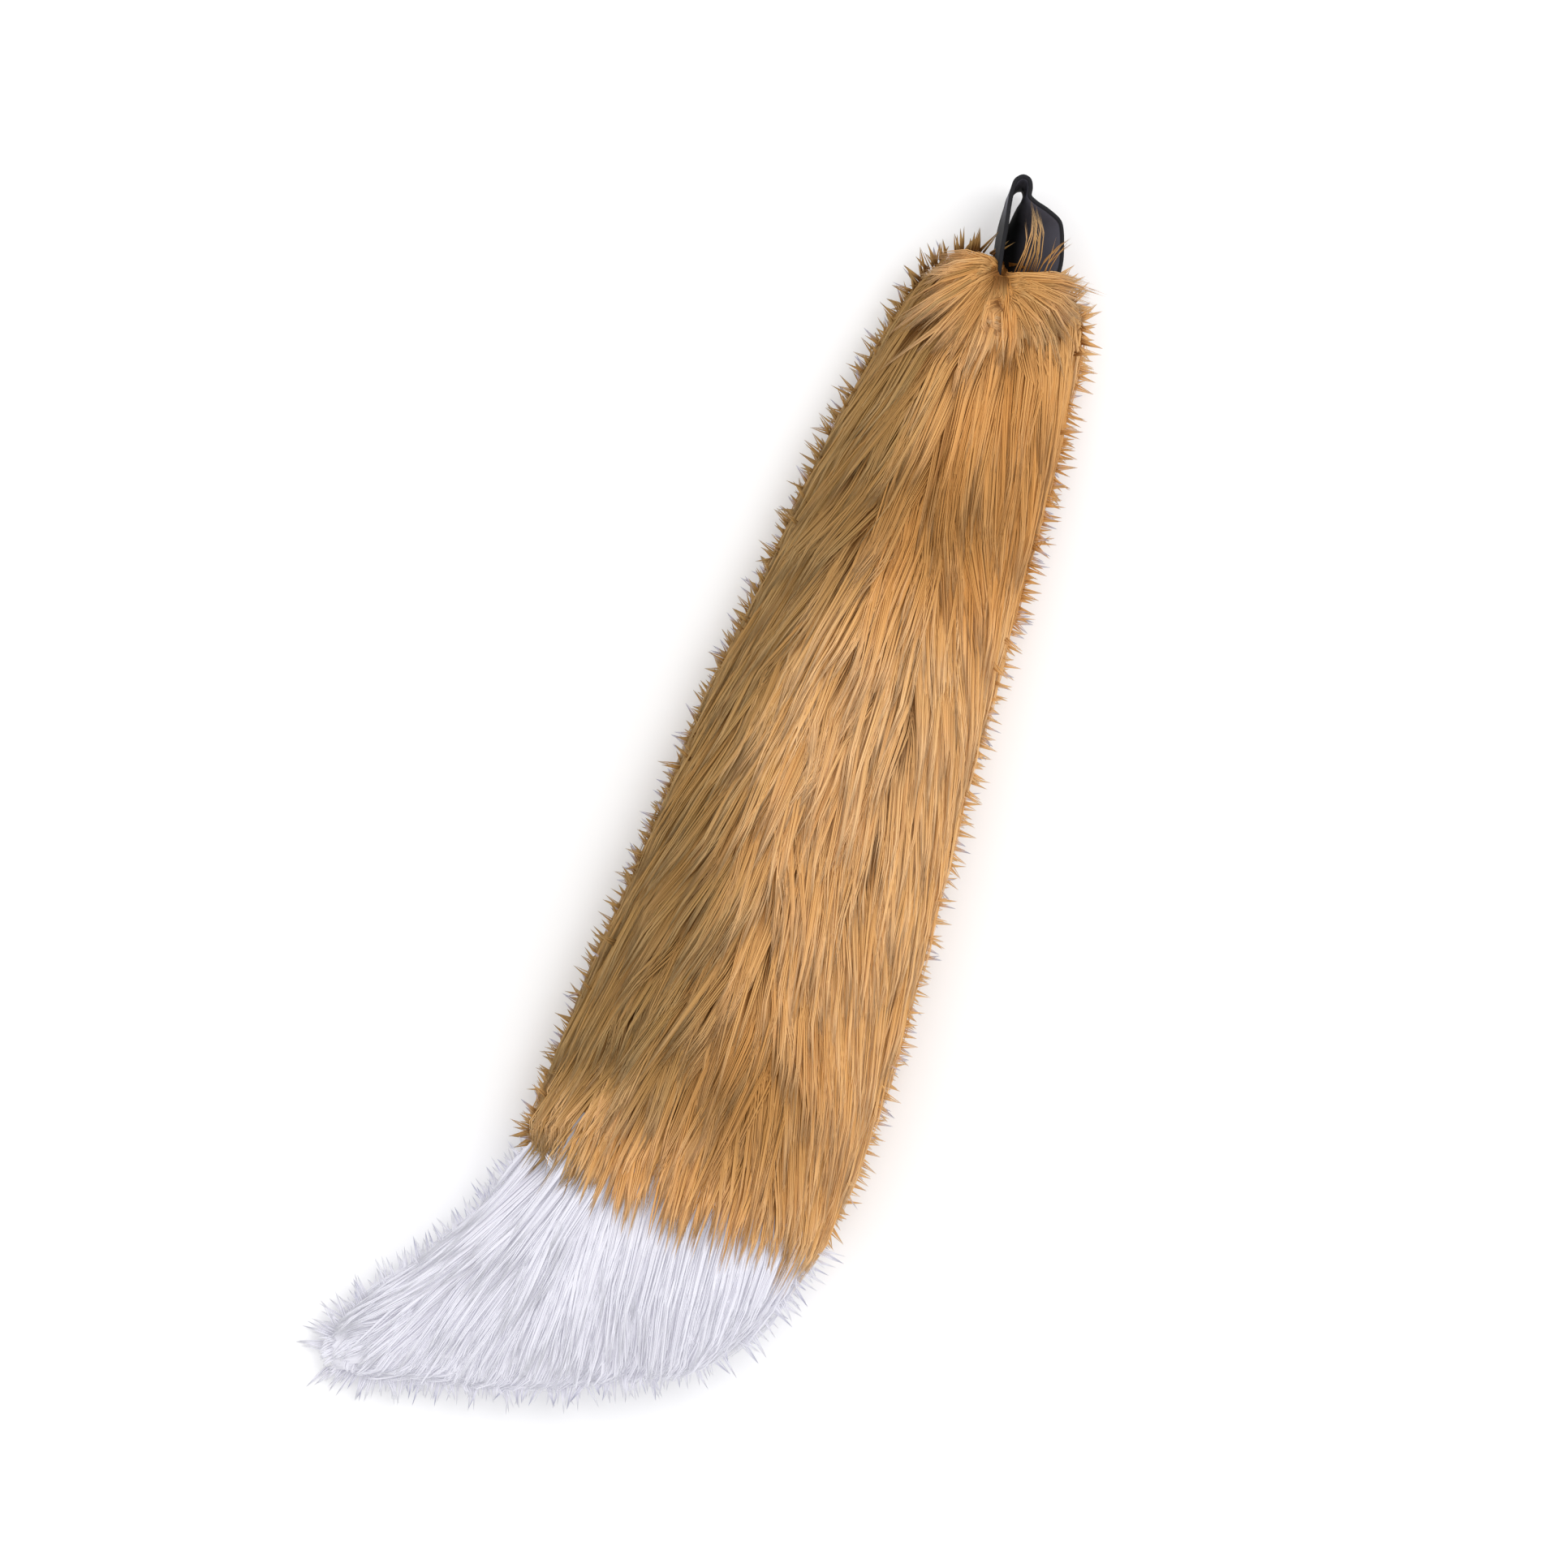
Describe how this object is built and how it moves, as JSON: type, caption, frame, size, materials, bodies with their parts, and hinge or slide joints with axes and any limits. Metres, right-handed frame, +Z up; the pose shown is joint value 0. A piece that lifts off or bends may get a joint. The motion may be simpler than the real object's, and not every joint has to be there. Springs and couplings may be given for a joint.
{
  "type": "costume animal tail with belt loop",
  "caption": "Stuffed long-pile costume fox tail, tan with a white swept tip, and a folded webbing loop at the blunt end for a belt.",
  "frame": {"origin": "on the surface that the tail lies on, under the middle of the whole tail", "axes": "+Y along the straight part towards the belt loop, the tip swings towards -X, +Z up off the surface"},
  "size_m": [0.1898, 0.5634, 0.0763],
  "materials": {
    "tan_pile": "long soft tan pile",
    "white_pile": "long soft white pile",
    "webbing": "black woven webbing"
  },
  "bodies": {
    "root": {"fur_body": "tan_pile", "fur_tip": "white_pile", "belt_loop": "webbing"}
  },
  "joints": []
}
